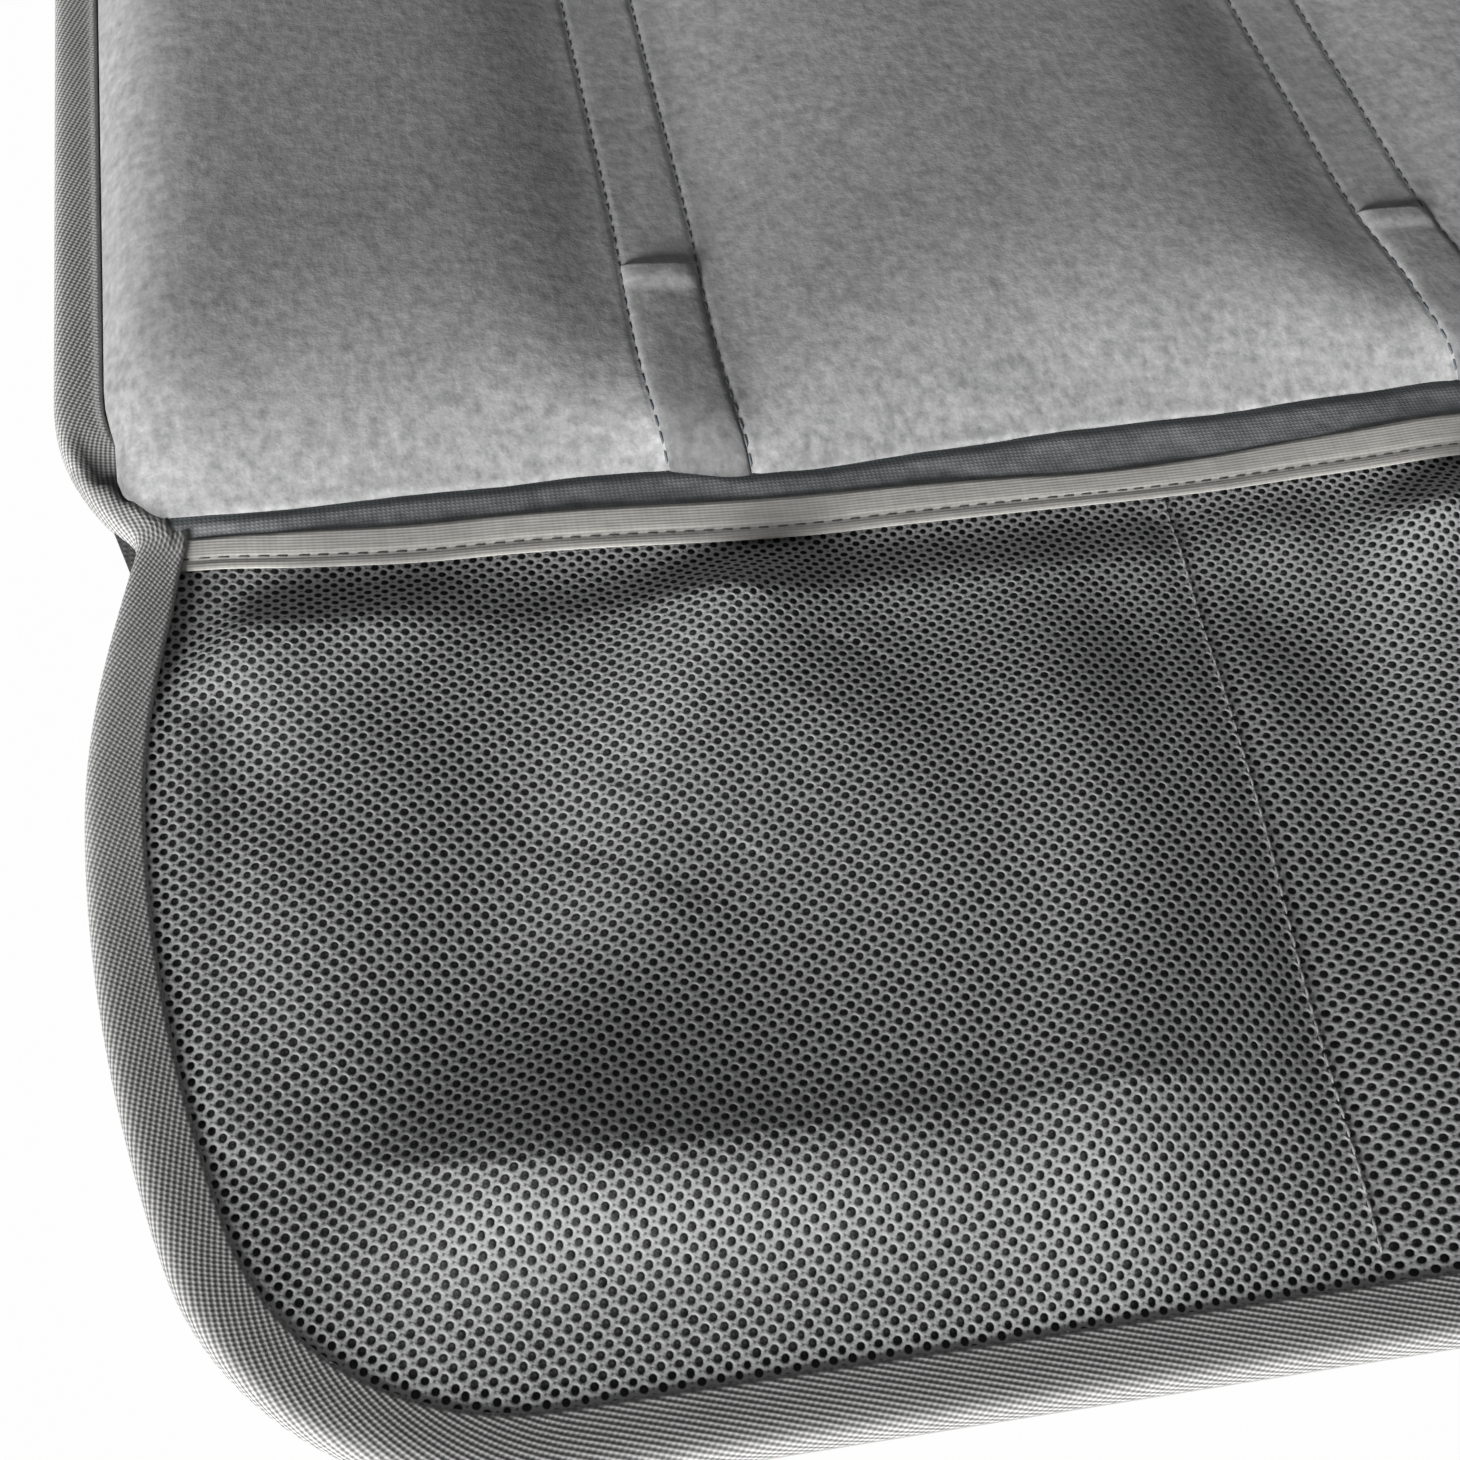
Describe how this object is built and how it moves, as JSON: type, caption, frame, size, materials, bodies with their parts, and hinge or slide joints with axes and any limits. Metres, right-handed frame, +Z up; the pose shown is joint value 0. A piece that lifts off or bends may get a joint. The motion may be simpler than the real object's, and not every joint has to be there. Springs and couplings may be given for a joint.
{
  "type": "car seat protector mat",
  "caption": "Padded seat and backrest mat with a bound edge, stitched channels and a front flap that carries a netting pocket under a ribbon.",
  "frame": {"origin": "on the floor under the middle of the mat's box, with the mat lying flat", "axes": "+X across the mat, +Y along it from the front flap to the backrest's top edge, +Z up out of the padded face"},
  "size_m": [0.48, 1.18, 0.0125],
  "materials": {
    "face_fabric": "smooth brushed grey cloth, matt",
    "foam": "soft open foam",
    "channel_tape": "flat woven tape",
    "base_felt": "thin needled felt",
    "hem_fabric": "dark smooth cloth",
    "flap_lining": "black lining cloth",
    "backing_cloth": "black woven backing cloth",
    "grip_sheet": "black grippy sheet",
    "netting": "knitted netting with round holes",
    "woven_ribbon": "flat woven ribbon, slight sheen",
    "binding_twill": "twill woven tape",
    "elastic_strap": "black elastic webbing"
  },
  "bodies": {
    "root": {"seat_face": "face_fabric", "back_face": "face_fabric", "seat_foam_1": "foam", "seat_foam_2": "foam", "seat_foam_3": "foam", "seat_foam_4": "foam", "back_foam_1": "foam", "back_foam_2": "foam", "back_foam_3": "foam", "back_foam_4": "foam", "channel_tape_1": "channel_tape", "channel_tape_2": "channel_tape", "channel_tape_3": "channel_tape", "seat_base_felt": "base_felt", "back_base_felt": "base_felt", "front_hem_strip": "hem_fabric", "fold_strip": "hem_fabric", "flap_lining": "flap_lining", "backing_cloth": "backing_cloth", "seat_grip_sheet": "grip_sheet", "mesh_pocket": "netting", "pocket_ribbon": "woven_ribbon", "edge_binding": "binding_twill", "back_strap": "elastic_strap"}
  },
  "joints": []
}
